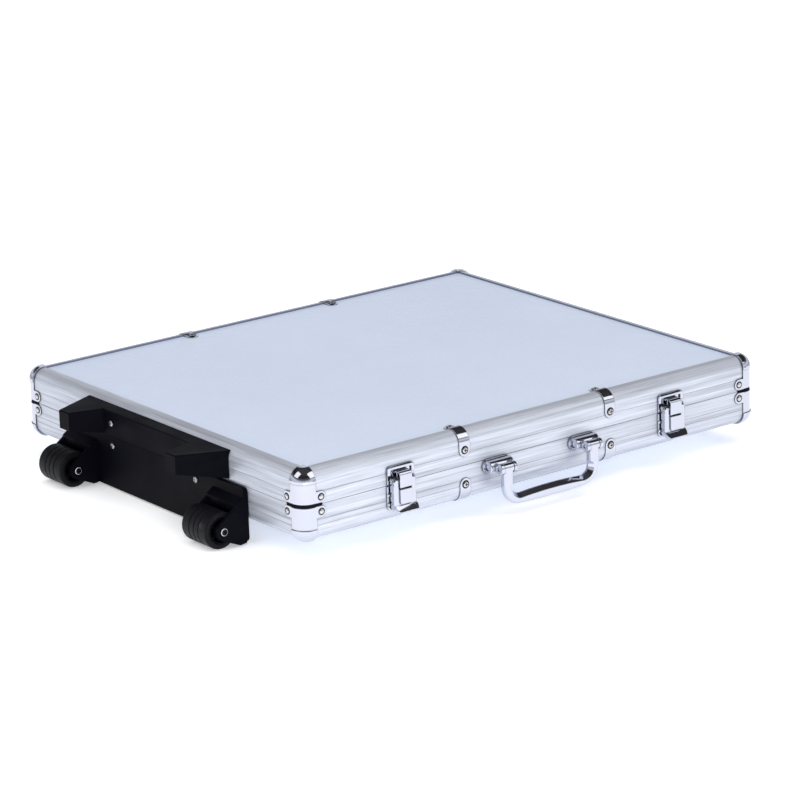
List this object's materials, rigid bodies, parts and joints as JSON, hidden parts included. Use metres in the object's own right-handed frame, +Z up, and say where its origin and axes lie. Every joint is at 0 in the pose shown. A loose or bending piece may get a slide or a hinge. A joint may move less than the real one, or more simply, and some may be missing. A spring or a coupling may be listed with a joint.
{
  "type": "poker chip trolley case",
  "caption": "Flat aluminium-framed chip case with hinged lid, draw latches, carry handle, wheels at one end and a telescopic pull handle.",
  "frame": {"origin": "bottom centre of the bounding box, on the floor plane, case lying flat on wheels and feet", "axes": "+X along the case from the wheels to the pull handle, +Y from the latches to the hinges, +Z up"},
  "size_m": [0.6334, 0.5042, 0.0921],
  "materials": {
    "anodised_rail": "satin anodised",
    "ribbed_sheet": "fine ribbed, matt",
    "panel_board": "bare fibreboard",
    "chrome_plate": "bright plated",
    "nickel_fasteners": "nickel plated",
    "zinc_steel": "zinc plated",
    "black_nylon": "fine moulded grain",
    "button_plastic": "smooth moulded",
    "wheel_rubber": "satin",
    "foot_rubber": "matt",
    "drawn_tube": "satin drawn",
    "tray_plastic": "flocked",
    "lid_foam": "open-cell foam"
  },
  "bodies": {
    "base": {"base_rail_front": "anodised_rail", "base_rail_back": "anodised_rail", "base_rail_left": "anodised_rail", "base_rail_right": "anodised_rail", "base_panel_sheet": "ribbed_sheet", "base_panel_board": "panel_board", "base_corner_covers": "chrome_plate", "base_edge_bands": "chrome_plate", "base_rivets": "nickel_fasteners", "base_band_screws": "nickel_fasteners", "chip_tray_left": "tray_plastic", "chip_tray_right": "tray_plastic", "accessory_tray": "tray_plastic", "hinge_base_leaves": "zinc_steel", "hinge_pins": "nickel_fasteners", "latch_bases": "chrome_plate", "latch_plate_rivets": "nickel_fasteners", "latch_pivot_rivets": "nickel_fasteners", "handle_brackets": "chrome_plate", "handle_pins": "nickel_fasteners", "wheel_bracket": "black_nylon", "wheel_axles": "zinc_steel", "outer_tubes": "drawn_tube", "tube_clips": "zinc_steel", "guide_block": "black_nylon", "trolley_screws": "zinc_steel", "rubber_feet": "foot_rubber"},
    "lid": {"lid_rail_front": "anodised_rail", "lid_rail_back": "anodised_rail", "lid_rail_left": "anodised_rail", "lid_rail_right": "anodised_rail", "lid_panel_sheet": "ribbed_sheet", "lid_panel_board": "panel_board", "lid_corner_covers": "chrome_plate", "lid_edge_bands": "chrome_plate", "lid_rivets": "nickel_fasteners", "lid_band_screws": "nickel_fasteners", "lid_foam": "lid_foam", "hinge_lid_leaves": "zinc_steel", "latch_catches": "chrome_plate", "latch_catch_rivets": "nickel_fasteners", "bumper": "black_nylon", "bumper_screws": "zinc_steel"},
    "lever_left": {"latch_lever_left": "chrome_plate", "claw_pin_left": "nickel_fasteners"},
    "lever_right": {"latch_lever_right": "chrome_plate", "claw_pin_right": "nickel_fasteners"},
    "claw_left": {"latch_claw_left": "chrome_plate"},
    "claw_right": {"latch_claw_right": "chrome_plate"},
    "handle": {"carry_handle": "chrome_plate"},
    "wheel_front": {"wheel_hub_front": "black_nylon", "wheel_tyre_front": "wheel_rubber"},
    "wheel_back": {"wheel_hub_back": "black_nylon", "wheel_tyre_back": "wheel_rubber"},
    "middle_stage": {"middle_tubes": "drawn_tube", "middle_tube_plugs": "black_nylon"},
    "inner_stage": {"inner_tubes": "drawn_tube", "trolley_grip": "black_nylon"},
    "button": {"release_button": "button_plastic", "push_rods": "zinc_steel"}
  },
  "joints": [
    {"name": "lid_hinge", "type": "hinge", "parent": "base", "child": "lid", "pos_m": [0.00975, 0.2493, 0.056], "axis": [-1, 0, 0], "range_deg": [0, 95]},
    {"name": "latch_left", "type": "hinge", "parent": "base", "child": "lever_left", "pos_m": [-0.15725, -0.2334, 0.0615], "axis": [-1, 0, 0], "range_deg": [0, 100]},
    {"name": "latch_right", "type": "hinge", "parent": "base", "child": "lever_right", "pos_m": [0.17675, -0.2334, 0.0615], "axis": [-1, 0, 0], "range_deg": [0, 100]},
    {"name": "claw_left", "type": "hinge", "parent": "lever_left", "child": "claw_left", "pos_m": [-0.15725, -0.2361, 0.0575], "axis": [-1, 0, 0], "range_deg": [-100, 0]},
    {"name": "claw_right", "type": "hinge", "parent": "lever_right", "child": "claw_right", "pos_m": [0.17675, -0.2361, 0.0575], "axis": [-1, 0, 0], "range_deg": [-100, 0]},
    {"name": "handle_swing", "type": "hinge", "parent": "base", "child": "handle", "pos_m": [0.00975, -0.2467, 0.0495], "axis": [-1, 0, 0], "range_deg": [-10, 105]},
    {"name": "wheel_front_spin", "type": "hinge", "parent": "base", "child": "wheel_front", "pos_m": [-0.29875, -0.1177, 0.018], "axis": [0, 1, 0], "continuous": true},
    {"name": "wheel_back_spin", "type": "hinge", "parent": "base", "child": "wheel_back", "pos_m": [-0.29875, 0.1343, 0.018], "axis": [0, 1, 0], "continuous": true},
    {"name": "stage_1_slide", "type": "slide", "parent": "base", "child": "middle_stage", "axis": [1, 0, 0], "range_m": [0, 0.23]},
    {"name": "stage_2_slide", "type": "slide", "parent": "middle_stage", "child": "inner_stage", "axis": [1, 0, 0], "range_m": [0, 0.23]},
    {"name": "button_press", "type": "slide", "parent": "inner_stage", "child": "button", "axis": [-1, 0, 0], "range_m": [0, 0.004], "stiffness_N_per_m": 400, "springref_m": -0.002}
  ],
  "couplings": [
    {"joint": "claw_left", "follows": "latch_left", "ratio": -1},
    {"joint": "claw_right", "follows": "latch_right", "ratio": -1}
  ]
}
